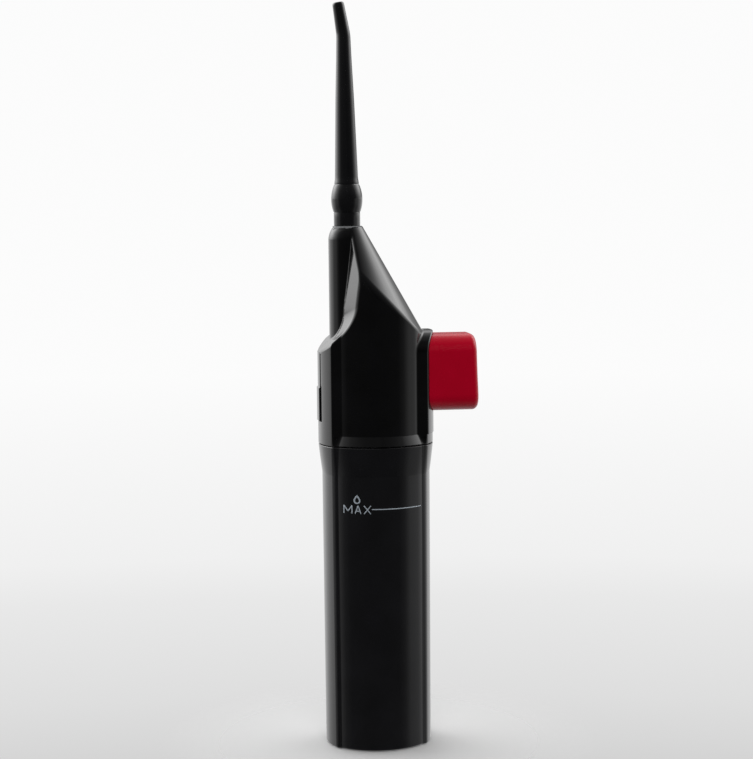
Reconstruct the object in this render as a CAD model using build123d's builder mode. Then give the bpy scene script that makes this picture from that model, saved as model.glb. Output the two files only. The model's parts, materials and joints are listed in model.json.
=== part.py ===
from build123d import *
import os

# Hand-pumped water flosser, standing on its water tank. Millimetres. The origin is on the body's axis
# at the base; +X points to the pump button, +Y to the back and +Z up.

# Body outlines. The sides lie on a circle of RADIUS. The front and back are bulging panels, set back
# behind a narrow shoulder: (radius, y of the strip's corner, panel edge (x, y), panel apex y).
TANK_OUTLINE = (20.15, 10.5, (15.75, 11.15), 17.35)
LIP_OUTLINE = (21.7, 12.4, (16.0, 13.15), 18.9)
HEAD_OUTLINE = (21.7, 12.3, (14.5, 12.0), 17.0)
HEAD_RADIUS = HEAD_OUTLINE[0]
HEAD_RIGHT = 18.9

# Tank
TANK_TOP = 115.5
TANK_FLARE = 104.7
TANK_WALL = 1.8
TANK_FLOOR = 2.0
NECK_DECK = (102.5, 105.0)
MOUTH_TOP = 110.0
MOUTH_RADIUS = 12.0
MOUTH_WALL = 1.4
CATCH = (108.6, 111.6)
CATCH_DEPTH = 1.05

# Head
SEAM = 0.3
HEAD_BOTTOM = TANK_TOP + SEAM
HEAD_WAIST = 119.5
HEAD_WALL = 1.6
ARCH_TOP = 158.0
ARCH_WIDTH = 24.4
ARCH_CORNER = 8.2
NECK_TOP = 197.4
NECK_X = -10.0
NECK_RADIUS = 7.1
ROOF_X = -9.8
ROOF_HEAD_RADIUS = 5.45
ROOF_SLOPE = 0.564
ROOF_EAVES = 150.0
SCOOP_STRAIGHT = (-7.7, 177.5)
SCOOP_MIDDLE = (-9.2, 166.0)
SCOOP_SHELF = (-13.5, 158.7)
SCOOP_EDGE = (-21.6, 151.4)

# Pump: a barrel lying along X inside the hollow button
PUMP_Z = 142.2
BUTTON_WIDTH = 21.0
BUTTON_HEIGHT = 28.4
BUTTON_CORNER = 6.5
BUTTON_END = 37.9
BUTTON_END_LEAN = 1.0
BUTTON_INNER_END = 14.3
BUTTON_WALL = 1.5
BUTTON_GAP = 0.3
BARREL_RADIUS = 6.8
BORE_RADIUS = 5.3
BARREL_END = 13.4
CHAMBER_END = -12.0
PISTON_FRONT = 8.0
PISTON_LENGTH = 5.0
ROD_RADIUS = 2.0
CORE = (34.0, 36.0)
SPRING_WIRE = 1.1
SPRING_RADIUS = 7.6
SPRING_TURNS = 9

# Ball valves
INLET_X = -6.5
PORT_RADIUS = 1.2
BALL_RADIUS = 1.75
BALL_GAP = 0.05
VALVE_BORE = 2.1
VALVE_CHAMBER = 6.5
VALVE_WIRE = 0.3
VALVE_COIL_RADIUS = 1.2
INLET_SEAT_TOP = 121.5
OUTLET_SEAT_TOP = 154.0
SEAT_THICKNESS = 2.0

# Base plate, spigot and dip tube
PLATE = (117.0, 119.0)
SPIGOT_BOTTOM = 104.0
SPIGOT_RADIUS = MOUTH_RADIUS - 0.3
SPIGOT_BORE = 9.6
SEAL_GROOVE = (106.3, 108.3)
SEAL_GROOVE_RADIUS = 10.5
TUBE_RADIUS = 2.5
TUBE_BORE = 1.6
TUBE_BOTTOM = 8.0
SHELL_SCREW = (8.8, 11.2)
PUMP_SCREW_Y = 5.2
VENT_X = 6.0

# Latch on the left side
LATCH_WIDTH = 7.4
LATCH_BOTTOM = 124.6
LATCH_TOP = 150.4
PAD_TOP = 137.2
PAD_RISE = 0.4
LATCH_PIVOT = (-18.6, 144.0)
PIN_RADIUS = 0.8
TAIL_WIDTH = 6.0
TAIL_X = (-18.0, -16.8)
TAIL_BOTTOM = 108.9
HOOK_REACH = 18.95
LATCH_SPRING_Z = 137.0
LATCH_SPRING_SEAT = -15.2

# Nozzle
BUSH_BOTTOM = 185.5
BUSH_RADIUS = 5.45
SHAFT_RADIUS = 3.8
FIT = 0.05
CLIP = (186.9, 187.7)
CLIP_RECESS = 188.2
COLLAR_STEM = 4.95
COLLAR_SHOULDER = 202.5
COLLAR_BULGE = (5.85, 208.0)
COLLAR_TOP = (4.7, 212.8)
SOCKET_RADIUS = 2.9
SOCKET_BOTTOM = 200.0
TIP_CONE = ((4.65, 213.0), (4.35, 215.0), (3.5, 244.0), (2.9, 259.0), (2.62, 268.0))
TIP_BEND_Z = 268.0
TIP_LEAN = 8.3
TIP_LENGTH = 12.1
TIP_END_RADIUS = 2.3
JET_RADIUS = 0.4

BACK_VIEW = Plane((0, 0, 0), x_dir=(1, 0, 0), z_dir=(0, -1, 0))
AXIS_LINE = BACK_VIEW
INLET_LINE = Plane((INLET_X, 0, 0), x_dir=(1, 0, 0), z_dir=(0, -1, 0))
NECK_LINE = Plane((NECK_X, 0, 0), x_dir=(1, 0, 0), z_dir=(0, -1, 0))
PUMP_LINE = Plane((0, 0, PUMP_Z), x_dir=(0, 0, 1), z_dir=(0, 1, 0))
LATCH_SPRING_LINE = Plane((0, 0, LATCH_SPRING_Z), x_dir=(0, 0, 1), z_dir=(0, 1, 0))
SEAT_OFFSET = (BALL_RADIUS**2 - PORT_RADIUS**2) ** 0.5


def outline(level, shape, inset=0.0, right=None):
    """Cross-section of the body at a level, or the same section a wall smaller.

    Given a right end, the panels run round to it in one curve, in place of the right-hand strip.
    """
    radius, corner_y, (edge_x, edge_y), apex = shape
    corner_x = (radius**2 - corner_y**2) ** 0.5
    with BuildSketch(Plane.XY.offset(level)) as section:
        with BuildLine():
            if right:
                ThreePointArc((edge_x, -edge_y), (right, 0), (edge_x, edge_y))
            else:
                Line((edge_x, -edge_y), (corner_x, -corner_y))
                ThreePointArc((corner_x, -corner_y), (radius, 0), (corner_x, corner_y))
                Line((corner_x, corner_y), (edge_x, edge_y))
            ThreePointArc((edge_x, edge_y), (0, apex), (-edge_x, edge_y))
            Line((-edge_x, edge_y), (-corner_x, corner_y))
            ThreePointArc((-corner_x, corner_y), (-radius, 0), (-corner_x, -corner_y))
            Line((-corner_x, -corner_y), (-edge_x, -edge_y))
            ThreePointArc((-edge_x, -edge_y), (0, -apex), (edge_x, -edge_y))
        make_face()
        if inset:
            offset(amount=-inset)
    return section.sketch


def between(shape_a, shape_b, share):
    """Outline that lies a share of the way from one outline to another."""
    mix = [a + (b - a) * share for a, b in zip((*shape_a[:2], *shape_a[2], shape_a[3]),
                                               (*shape_b[:2], *shape_b[2], shape_b[3]))]
    return (mix[0], mix[1], (mix[2], mix[3]), mix[4])


def half_section(plane, *corners):
    """Closed profile of (distance from the plane's Y axis, distance along it) corners."""
    with BuildSketch(plane) as profile:
        with BuildLine():
            Polyline(*corners, close=True)
        make_face()
    return profile.sketch


def lathe(plane, *corners, mode=Mode.ADD):
    """Turn a profile of (radius, position) corners about the plane's Y axis."""
    revolve(half_section(plane, *corners), axis=Axis(plane.origin, plane.y_dir), mode=mode)


def rod(plane, radius, start, end, mode=Mode.ADD):
    """Plain cylinder on the plane's Y axis."""
    lathe(plane, (0, start), (radius, start), (radius, end), (0, end), mode=mode)


def ring(plane, inner, outer, start, end, mode=Mode.ADD):
    """Plain ring on the plane's Y axis."""
    lathe(plane, (inner, start), (outer, start), (outer, end), (inner, end), mode=mode)


def coil(start, direction, radius, wire, length, turns):
    """Round-wire helical spring; length is measured over its wire."""
    pitch = (length - wire) / turns
    first = Vector(*start) + Vector(*direction) * (wire / 2)
    with BuildPart() as spring:
        with BuildLine() as path:
            Helix(pitch, pitch * turns, radius, center=first, direction=direction)
        with BuildSketch(Plane(path.line @ 0, z_dir=path.line % 0)):
            Circle(wire / 2)
        sweep(is_frenet=True)
    return spring.part


def write(piece, name):
    """Label a finished piece and write its file."""
    piece.part.label = name
    export_step(piece.part, f"parts/{name}.step")


os.makedirs("parts", exist_ok=True)

# ---------------------------------------------------------------- tank

with BuildPart() as reservoir:
    extrude(outline(0, TANK_OUTLINE), amount=TANK_FLARE)
    chamfer(reservoir.edges().group_by(Axis.Z)[0], 0.7)
    flare_middle = between(TANK_OUTLINE, LIP_OUTLINE, 0.36)
    loft([
        outline(TANK_FLARE, TANK_OUTLINE),
        outline((TANK_FLARE + TANK_TOP) / 2, flare_middle),
        outline(TANK_TOP, LIP_OUTLINE),
    ])
    cavity_height = TANK_TOP - TANK_FLOOR
    extrude(outline(TANK_FLOOR, TANK_OUTLINE, TANK_WALL), amount=cavity_height, mode=Mode.SUBTRACT)
    catch_x = TANK_OUTLINE[0] - TANK_WALL
    with Locations((-catch_x, 0, sum(CATCH) / 2)):
        Box(2 * CATCH_DEPTH, TAIL_WIDTH + 1.2, CATCH[1] - CATCH[0], mode=Mode.SUBTRACT)
write(reservoir, "reservoir")

with BuildPart() as reservoir_neck:
    extrude(outline(NECK_DECK[0], TANK_OUTLINE, TANK_WALL + 0.02), amount=NECK_DECK[1] - NECK_DECK[0])
    ring(AXIS_LINE, MOUTH_RADIUS, MOUTH_RADIUS + MOUTH_WALL, NECK_DECK[0], MOUTH_TOP)
    rod(AXIS_LINE, MOUTH_RADIUS, NECK_DECK[0] - 1, MOUTH_TOP + 1, mode=Mode.SUBTRACT)
write(reservoir_neck, "reservoir_neck")

# ---------------------------------------------------------------- head shells


def roof_envelope(inset):
    """Space under the slanting roof: a cone about the neck, on a wide block."""
    thinner = inset * (1 + ROOF_SLOPE**2) ** 0.5
    with BuildPart() as envelope:
        with BuildSketch(Plane.XY.offset(HEAD_BOTTOM - 2)):
            Circle(2 * HEAD_RADIUS)
        extrude(amount=ROOF_EAVES - HEAD_BOTTOM + 2)
        with BuildSketch(Plane.XY.offset(ROOF_EAVES)):
            with Locations((ROOF_X, 0)):
                Circle(ROOF_HEAD_RADIUS + ROOF_SLOPE * (NECK_TOP - ROOF_EAVES) - thinner)
        with BuildSketch(Plane.XY.offset(NECK_TOP)):
            with Locations((ROOF_X, 0)):
                Circle(ROOF_HEAD_RADIUS - thinner)
        loft()
    return envelope.part


def scoop(inset):
    """Sweep of space cut out beside the neck, seen from the front and cut right through."""
    with BuildPart() as cutter:
        with BuildSketch(BACK_VIEW):
            with BuildLine():
                run = (SCOOP_EDGE[0] - SCOOP_SHELF[0], SCOOP_EDGE[1] - SCOOP_SHELF[1])
                low = (SCOOP_EDGE[0] + run[0], SCOOP_EDGE[1] + run[1])
                top = (-9.4, NECK_TOP + 5)
                Line(top, SCOOP_STRAIGHT)
                ThreePointArc(SCOOP_STRAIGHT, SCOOP_MIDDLE, SCOOP_SHELF)
                Line(SCOOP_SHELF, low)
                Polyline(low, (low[0], top[1]), top)
            make_face()
            if inset:
                offset(amount=inset)
        extrude(amount=1.5 * HEAD_RADIUS, both=True)
    return cutter.part


with BuildPart() as button_arch:
    with BuildSketch(Plane.YZ):
        with BuildLine():
            half = ARCH_WIDTH / 2
            FilletPolyline((-half, HEAD_WAIST), (-half, ARCH_TOP), (half, ARCH_TOP), (half, HEAD_WAIST),
                           radius=ARCH_CORNER)
            Line((half, HEAD_WAIST), (-half, HEAD_WAIST))
        make_face()
    extrude(amount=HEAD_RADIUS + 1)
    rod(AXIS_LINE, HEAD_RADIUS, TANK_TOP, NECK_TOP, mode=Mode.INTERSECT)

with BuildPart() as head_form:
    extrude(outline(HEAD_WAIST, HEAD_OUTLINE, right=HEAD_RIGHT), amount=NECK_TOP - HEAD_WAIST)
    add(roof_envelope(0), mode=Mode.INTERSECT)
    add(button_arch.part)
    loft([outline(HEAD_BOTTOM, LIP_OUTLINE), outline(HEAD_WAIST, HEAD_OUTLINE)])
    add(scoop(0), mode=Mode.SUBTRACT)
    rod(NECK_LINE, NECK_RADIUS, SCOOP_EDGE[1] - 2, NECK_TOP)
    lathe(NECK_LINE, (0, TANK_TOP), (60, TANK_TOP), (60, NECK_TOP - 12), (NECK_RADIUS + 0.6, NECK_TOP - 3.2),
          (NECK_RADIUS - 1.6, NECK_TOP), (0, NECK_TOP), mode=Mode.INTERSECT)

with BuildPart() as head_space:
    extrude(outline(HEAD_BOTTOM - 1, HEAD_OUTLINE, HEAD_WALL, HEAD_RIGHT), amount=NECK_TOP - HEAD_BOTTOM - 2)
    add(roof_envelope(HEAD_WALL), mode=Mode.INTERSECT)
    add(scoop(HEAD_WALL), mode=Mode.SUBTRACT)
    rod(NECK_LINE, NECK_RADIUS - HEAD_WALL, SCOOP_EDGE[1] - 5, NECK_TOP + 1)

with BuildPart() as head_shell:
    add(head_form.part)
    add(head_space.part, mode=Mode.SUBTRACT)
    with Locations(*[(x, y, PLATE[1] + 3.5) for x in (-SHELL_SCREW[0], SHELL_SCREW[0])
                     for y in (-SHELL_SCREW[1], SHELL_SCREW[1])]):
        Cylinder(2.6, 7.0)
        Cylinder(1.0, 7.0, mode=Mode.SUBTRACT)
    with Locations((-18.4, 5.4, LATCH_PIVOT[1]), (-18.4, -5.4, LATCH_PIVOT[1])):
        Box(3.2, 2.4, 4.0)
    with BuildSketch(BACK_VIEW):
        with Locations(LATCH_PIVOT):
            Circle(PIN_RADIUS + 0.02)
    extrude(amount=6.4, both=True, mode=Mode.SUBTRACT)
    with BuildSketch(Plane.YZ.offset(-4)):
        with Locations((0, PUMP_Z)):
            RectangleRounded(BUTTON_WIDTH + 2 * BUTTON_GAP, BUTTON_HEIGHT + 2 * BUTTON_GAP, BUTTON_CORNER)
    extrude(amount=2 * HEAD_RADIUS, mode=Mode.SUBTRACT)
    with Locations((-HEAD_RADIUS, 0, LATCH_BOTTOM - SEAM)):
        Box(4.0, LATCH_WIDTH + 0.6, 40, align=(Align.CENTER, Align.CENTER, Align.MIN), mode=Mode.SUBTRACT)
        Box(4.0, LATCH_WIDTH + 1.8, PAD_TOP - LATCH_BOTTOM + 0.6,
            align=(Align.CENTER, Align.CENTER, Align.MIN), mode=Mode.SUBTRACT)

with BuildPart() as head_front_shell:
    add(head_shell.part)
    split(bisect_by=Plane.XZ, keep=Keep.TOP)
write(head_front_shell, "head_front_shell")

with BuildPart() as head_back_shell:
    add(head_shell.part)
    split(bisect_by=Plane.XZ, keep=Keep.BOTTOM)
write(head_back_shell, "head_back_shell")

# ---------------------------------------------------------------- base plate and water inlet

with BuildPart() as base_plate:
    extrude(outline(PLATE[0], HEAD_OUTLINE, HEAD_WALL + FIT, HEAD_RIGHT), amount=PLATE[1] - PLATE[0])
    ring(AXIS_LINE, SPIGOT_BORE, SPIGOT_RADIUS, SPIGOT_BOTTOM, PLATE[0])
    ring(AXIS_LINE, SEAL_GROOVE_RADIUS, SPIGOT_RADIUS + 1, *SEAL_GROOVE, mode=Mode.SUBTRACT)
    rod(INLET_LINE, TUBE_BORE, PLATE[0] - 5, PLATE[0])
    rod(INLET_LINE, 1.0, PLATE[0] - 6, PLATE[1] + 1, mode=Mode.SUBTRACT)
    with Locations((-HEAD_RADIUS, 0, sum(PLATE) / 2)):
        Box(2 * (HEAD_RADIUS - 14.4), TAIL_WIDTH + 1.2, 4, mode=Mode.SUBTRACT)
    with Locations(*[(x, y, sum(PLATE) / 2) for x in (-SHELL_SCREW[0], SHELL_SCREW[0])
                     for y in (-SHELL_SCREW[1], SHELL_SCREW[1])]):
        Cylinder(1.1, 4, mode=Mode.SUBTRACT)
    with Locations((0, PUMP_SCREW_Y, PLATE[0]), (0, -PUMP_SCREW_Y, PLATE[0])):
        Cylinder(2.0, 4.0, align=(Align.CENTER, Align.CENTER, Align.MAX))
        Cylinder(0.95, 6.4, mode=Mode.SUBTRACT)
    with Locations((VENT_X, 0, sum(PLATE) / 2)):
        Cylinder(0.8, 4, mode=Mode.SUBTRACT)
        with PolarLocations(1.6, 4):
            Cylinder(0.4, 4, mode=Mode.SUBTRACT)
write(base_plate, "base_plate")

with BuildPart() as mouth_seal:
    ring(AXIS_LINE, SEAL_GROOVE_RADIUS, MOUTH_RADIUS - FIT, *SEAL_GROOVE)
    fillet(mouth_seal.edges().filter_by(GeomType.CIRCLE), 0.5)
write(mouth_seal, "mouth_seal")

with BuildPart() as shell_screws:
    with Locations(*[(x, y, PLATE[0]) for x in (-SHELL_SCREW[0], SHELL_SCREW[0])
                     for y in (-SHELL_SCREW[1], SHELL_SCREW[1])]):
        Cylinder(1.7, 1.0, align=(Align.CENTER, Align.CENTER, Align.MAX))
        Cylinder(0.98, 8.0, align=(Align.CENTER, Align.CENTER, Align.MIN))
write(shell_screws, "shell_screws")

with BuildPart() as vent_valve:
    lathe(Plane((VENT_X, 0, 0), x_dir=(1, 0, 0), z_dir=(0, -1, 0)),
          (0, 116.3), (2.4, 116.5), (2.4, 116.95), (0.75, 116.95), (0.75, 119.1), (1.1, 119.3),
          (0.6, 120.4), (0, 120.4))
write(vent_valve, "vent_valve")

with BuildPart() as dip_tube:
    ring(INLET_LINE, TUBE_BORE + 0.01, TUBE_RADIUS, TUBE_BOTTOM, PLATE[0])
write(dip_tube, "dip_tube")

with BuildPart() as strainer:
    lathe(INLET_LINE, (0, 4.5), (3.6, 4.5), (4.0, 5.0), (4.0, 11.5), (TUBE_RADIUS + 0.02, 12.5),
          (TUBE_RADIUS + 0.02, TUBE_BOTTOM - 0.02), (3.0, TUBE_BOTTOM - 0.02), (3.0, 5.5), (0, 5.5))
    with Locations((INLET_X, 0, 6.4)):
        with PolarLocations(3.5, 8):
            Box(2.4, 0.8, 1.6, mode=Mode.SUBTRACT)
write(strainer, "strainer")

# ---------------------------------------------------------------- pump body and valves

with BuildPart() as pump_body:
    lathe(PUMP_LINE, (0, CHAMBER_END - 1.5), (BARREL_RADIUS, CHAMBER_END - 1.5), (BARREL_RADIUS, -0.5),
          (8.6, -0.5), (8.6, 0.5), (BARREL_RADIUS, 0.5), (BARREL_RADIUS, BARREL_END), (0, BARREL_END))
    rod(INLET_LINE, 4.2, PLATE[1], PUMP_Z - 4)
    rod(NECK_LINE, 4.4, PUMP_Z + 3, OUTLET_SEAT_TOP - SEAT_THICKNESS)
    rod(LATCH_SPRING_LINE, 2.0, LATCH_SPRING_SEAT, CHAMBER_END)
    with Locations((-4.5, 0, PLATE[1])):
        Box(14.0, 15.0, 2.5, align=(Align.CENTER, Align.CENTER, Align.MIN))
    rod(PUMP_LINE, BORE_RADIUS, CHAMBER_END, BARREL_END + 1, mode=Mode.SUBTRACT)
    rod(INLET_LINE, 3.0, PLATE[1] - 1, INLET_SEAT_TOP, mode=Mode.SUBTRACT)
    rod(INLET_LINE, VALVE_BORE, INLET_SEAT_TOP - 1, INLET_SEAT_TOP + VALVE_CHAMBER, mode=Mode.SUBTRACT)
    rod(INLET_LINE, PORT_RADIUS, INLET_SEAT_TOP, PUMP_Z - 3, mode=Mode.SUBTRACT)
    rod(NECK_LINE, PORT_RADIUS, PUMP_Z + 3, OUTLET_SEAT_TOP, mode=Mode.SUBTRACT)
    with Locations((0, PUMP_SCREW_Y, PLATE[1] + 1), (0, -PUMP_SCREW_Y, PLATE[1] + 1)):
        Cylinder(1.05, 6, mode=Mode.SUBTRACT)
write(pump_body, "pump_body")

with BuildPart() as pump_screws:
    with Locations((0, PUMP_SCREW_Y, PLATE[1] + 2.5), (0, -PUMP_SCREW_Y, PLATE[1] + 2.5)):
        Cylinder(1.8, 1.1, align=(Align.CENTER, Align.CENTER, Align.MIN))
        Cylinder(0.93, 5.4, align=(Align.CENTER, Align.CENTER, Align.MAX))
write(pump_screws, "pump_screws")

with BuildPart() as inlet_seat:
    ring(INLET_LINE, PORT_RADIUS, 2.98, PLATE[1], INLET_SEAT_TOP)
write(inlet_seat, "inlet_seat")

with BuildPart() as outlet_seat:
    ring(NECK_LINE, PORT_RADIUS, 4.4, OUTLET_SEAT_TOP - SEAT_THICKNESS, OUTLET_SEAT_TOP)
write(outlet_seat, "outlet_seat")


def valve_ball(x, seat_top):
    """Ball a hair above the edge of its seat."""
    with Locations((x, 0, seat_top + SEAT_OFFSET + BALL_GAP)):
        Sphere(BALL_RADIUS)


with BuildPart() as inlet_ball:
    valve_ball(INLET_X, INLET_SEAT_TOP)
write(inlet_ball, "inlet_ball")

with BuildPart() as outlet_ball:
    valve_ball(NECK_X, OUTLET_SEAT_TOP)
write(outlet_ball, "outlet_ball")

ball_spring_start = 2 * SEAT_OFFSET + BALL_GAP + 0.12
ball_spring_length = VALVE_CHAMBER - ball_spring_start - 0.05

with BuildPart() as inlet_spring:
    add(coil((INLET_X, 0, INLET_SEAT_TOP + ball_spring_start), (0, 0, 1), VALVE_COIL_RADIUS,
             VALVE_WIRE, ball_spring_length, 5))
write(inlet_spring, "inlet_spring")

with BuildPart() as outlet_spring:
    add(coil((NECK_X, 0, OUTLET_SEAT_TOP + ball_spring_start), (0, 0, 1), VALVE_COIL_RADIUS,
             VALVE_WIRE, ball_spring_length, 5))
write(outlet_spring, "outlet_spring")

with BuildPart() as outlet_tube:
    ring(NECK_LINE, VALVE_BORE, 4.4, OUTLET_SEAT_TOP, OUTLET_SEAT_TOP + VALVE_CHAMBER)
    ring(NECK_LINE, 1.3, 4.4, OUTLET_SEAT_TOP + VALVE_CHAMBER, BUSH_BOTTOM)
write(outlet_tube, "outlet_tube")

# ---------------------------------------------------------------- piston and button

with BuildPart() as rod_bush:
    ring(PUMP_LINE, ROD_RADIUS + 0.08, BARREL_RADIUS, BARREL_END, BARREL_END + 2)
write(rod_bush, "rod_bush")

with BuildPart() as spring_washer:
    ring(PUMP_LINE, BARREL_RADIUS + 0.05, 8.5, 0.5, 1.5)
write(spring_washer, "spring_washer")

with BuildPart() as piston:
    rod(PUMP_LINE, BORE_RADIUS - 0.1, PISTON_FRONT, PISTON_FRONT + PISTON_LENGTH)
    ring(PUMP_LINE, 4.2, 6, PISTON_FRONT + 1.6, PISTON_FRONT + 3.4, mode=Mode.SUBTRACT)
    rod(PUMP_LINE, ROD_RADIUS + 0.01, PISTON_FRONT + 2, PISTON_FRONT + 6, mode=Mode.SUBTRACT)
write(piston, "piston")

with BuildPart() as piston_seal:
    ring(PUMP_LINE, 4.2, BORE_RADIUS - 0.03, PISTON_FRONT + 1.6, PISTON_FRONT + 3.4)
write(piston_seal, "piston_seal")

with BuildPart() as piston_rod:
    rod(PUMP_LINE, ROD_RADIUS, PISTON_FRONT + 2, CORE[1] - 1)
write(piston_rod, "piston_rod")

with BuildPart() as button_core:
    with BuildSketch(Plane.YZ.offset(CORE[0])):
        with Locations((0, PUMP_Z)):
            RectangleRounded(BUTTON_WIDTH - 2 * BUTTON_WALL - 0.1, BUTTON_HEIGHT - 2 * BUTTON_WALL - 0.1, 4.9)
    extrude(amount=CORE[1] - CORE[0])
    rod(PUMP_LINE, 4.0, CORE[0] - 4, CORE[0])
    rod(PUMP_LINE, ROD_RADIUS + 0.01, CORE[0] - 5, CORE[1] - 1, mode=Mode.SUBTRACT)
write(button_core, "button_core")

with BuildPart() as button_cap:
    with BuildSketch(Plane.YZ.offset(BUTTON_INNER_END)):
        with Locations((0, PUMP_Z)):
            RectangleRounded(BUTTON_WIDTH, BUTTON_HEIGHT, BUTTON_CORNER)
    extrude(amount=BUTTON_END + BUTTON_END_LEAN - BUTTON_INNER_END)
    end_plane = Plane((BUTTON_END, 0, PUMP_Z), z_dir=(BUTTON_HEIGHT, 0, BUTTON_END_LEAN))
    split(bisect_by=end_plane, keep=Keep.BOTTOM)
    fillet(button_cap.faces().sort_by(Axis.X)[-1].edges(), 1.8)
    with BuildSketch(Plane.YZ.offset(BUTTON_INNER_END)):
        with Locations((0, PUMP_Z)):
            RectangleRounded(BUTTON_WIDTH - 2 * BUTTON_WALL, BUTTON_HEIGHT - 2 * BUTTON_WALL, 5)
    extrude(amount=CORE[1] - BUTTON_INNER_END, mode=Mode.SUBTRACT)
    with Locations((BUTTON_INNER_END, 0, PUMP_Z - BUTTON_HEIGHT / 2 + 0.5)):
        Box(2.1, 8.0, 1.3, align=(Align.MIN, Align.CENTER, Align.MAX))
write(button_cap, "button_cap")

with BuildPart() as return_spring:
    add(coil((1.55, 0, PUMP_Z), (1, 0, 0), SPRING_RADIUS, SPRING_WIRE, CORE[0] - 1.6, SPRING_TURNS))
write(return_spring, "return_spring")

# ---------------------------------------------------------------- latch

with BuildPart() as latch_lever:
    with BuildSketch(BACK_VIEW):
        with BuildLine():
            Polyline((-24, LATCH_BOTTOM), (-24, LATCH_TOP), (-20.1, LATCH_TOP), (-20.1, LATCH_BOTTOM),
                     close=True)
        make_face()
        with Locations(LATCH_PIVOT):
            Circle(1.9)
    extrude(amount=LATCH_WIDTH / 2, both=True)
    lathe(AXIS_LINE, (0, 100), (HEAD_RADIUS + PAD_RISE, 100), (HEAD_RADIUS + PAD_RISE, PAD_TOP - 0.4),
          (HEAD_RADIUS, PAD_TOP), (HEAD_RADIUS, 160), (0, 160), mode=Mode.INTERSECT)
    with BuildSketch(BACK_VIEW):
        with BuildLine():
            Polyline((-20.5, 130.0), (-20.1, 130.0), (TAIL_X[1], 126.0), (TAIL_X[1], TAIL_BOTTOM),
                     (TAIL_X[0], TAIL_BOTTOM), (-HOOK_REACH, 109.6), (-HOOK_REACH, 110.6),
                     (TAIL_X[0], 111.3), (TAIL_X[0], 124.7), (-20.5, 126.0), close=True)
        make_face()
    extrude(amount=TAIL_WIDTH / 2, both=True)
    with BuildSketch(BACK_VIEW):
        with Locations(LATCH_PIVOT):
            Circle(PIN_RADIUS + FIT)
    extrude(amount=LATCH_WIDTH, both=True, mode=Mode.SUBTRACT)
write(latch_lever, "latch_lever")

with BuildPart() as latch_pin:
    with BuildSketch(BACK_VIEW):
        with Locations(LATCH_PIVOT):
            Circle(PIN_RADIUS)
    extrude(amount=6.3, both=True)
write(latch_pin, "latch_pin")

with BuildPart() as latch_spring:
    add(coil((-19.75, 0, LATCH_SPRING_Z), (1, 0, 0), 1.5, 0.4, 19.75 + LATCH_SPRING_SEAT - 0.1, 6))
write(latch_spring, "latch_spring")

# ---------------------------------------------------------------- nozzle

with BuildPart() as neck_bush:
    lathe(NECK_LINE, (4.9, BUSH_BOTTOM), (BUSH_RADIUS, BUSH_BOTTOM), (BUSH_RADIUS, NECK_TOP),
          (SHAFT_RADIUS + FIT, NECK_TOP), (SHAFT_RADIUS + FIT, CLIP_RECESS), (4.9, CLIP_RECESS))
write(neck_bush, "neck_bush")

with BuildPart() as nozzle_collar:
    with BuildSketch(NECK_LINE):
        with BuildLine():
            Polyline((COLLAR_STEM, COLLAR_SHOULDER), (COLLAR_STEM, NECK_TOP + 0.2),
                     (SHAFT_RADIUS, NECK_TOP + 0.2), (SHAFT_RADIUS, CLIP[1]), (3.2, CLIP[1]),
                     (3.2, CLIP[0]), (SHAFT_RADIUS, CLIP[0]), (SHAFT_RADIUS, CLIP[0] - 0.9),
                     (PORT_RADIUS, CLIP[0] - 0.9), (PORT_RADIUS, SOCKET_BOTTOM),
                     (SOCKET_RADIUS, SOCKET_BOTTOM), (SOCKET_RADIUS, COLLAR_TOP[1]), COLLAR_TOP)
            ThreePointArc(COLLAR_TOP, COLLAR_BULGE, (COLLAR_STEM, COLLAR_SHOULDER))
        make_face()
    revolve(axis=Axis(NECK_LINE.origin, NECK_LINE.y_dir))
    ring(NECK_LINE, 3.0, 5, 191.0, 192.4, mode=Mode.SUBTRACT)
write(nozzle_collar, "nozzle_collar")

with BuildPart() as collar_seal:
    ring(NECK_LINE, 3.0, SHAFT_RADIUS + 0.03, 191.0, 192.4)
write(collar_seal, "collar_seal")

with BuildPart() as collar_clip:
    ring(NECK_LINE, 3.2, 4.6, *CLIP)
    with Locations((NECK_X + 4, 0, sum(CLIP) / 2)):
        Box(4, 2.4, 2, mode=Mode.SUBTRACT)
write(collar_clip, "collar_clip")

TIP_AXIS = Plane((NECK_X, 0, TIP_BEND_Z), x_dir=(1, 0, 0), z_dir=(0, -1, 0)).rotated((0, -TIP_LEAN, 0))

with BuildPart() as jet_tip:
    plug = SOCKET_RADIUS - FIT
    lathe(NECK_LINE, (0, SOCKET_BOTTOM + 0.3), (plug, SOCKET_BOTTOM + 0.3), (plug, TIP_CONE[0][1]),
          *TIP_CONE, (0, TIP_BEND_Z))
    with Locations((NECK_X, 0, TIP_BEND_Z)):
        Sphere(TIP_CONE[-1][0])
    lathe(TIP_AXIS, (0, 0), (TIP_CONE[-1][0], 0), (TIP_END_RADIUS, TIP_LENGTH), (0, TIP_LENGTH))
    ring(NECK_LINE, 2.1, 4, 203.0, 204.5, mode=Mode.SUBTRACT)
    rod(NECK_LINE, 1.1, SOCKET_BOTTOM, TIP_BEND_Z, mode=Mode.SUBTRACT)
    rod(TIP_AXIS, JET_RADIUS, -1, TIP_LENGTH + 1, mode=Mode.SUBTRACT)
write(jet_tip, "jet_tip")

with BuildPart() as tip_seal:
    ring(NECK_LINE, 2.1, SOCKET_RADIUS - 0.02, 203.0, 204.5)
write(tip_seal, "tip_seal")
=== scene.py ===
import json
import math
from collections import namedtuple

import bpy
import numpy as np
from mathutils import Matrix, Vector


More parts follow.
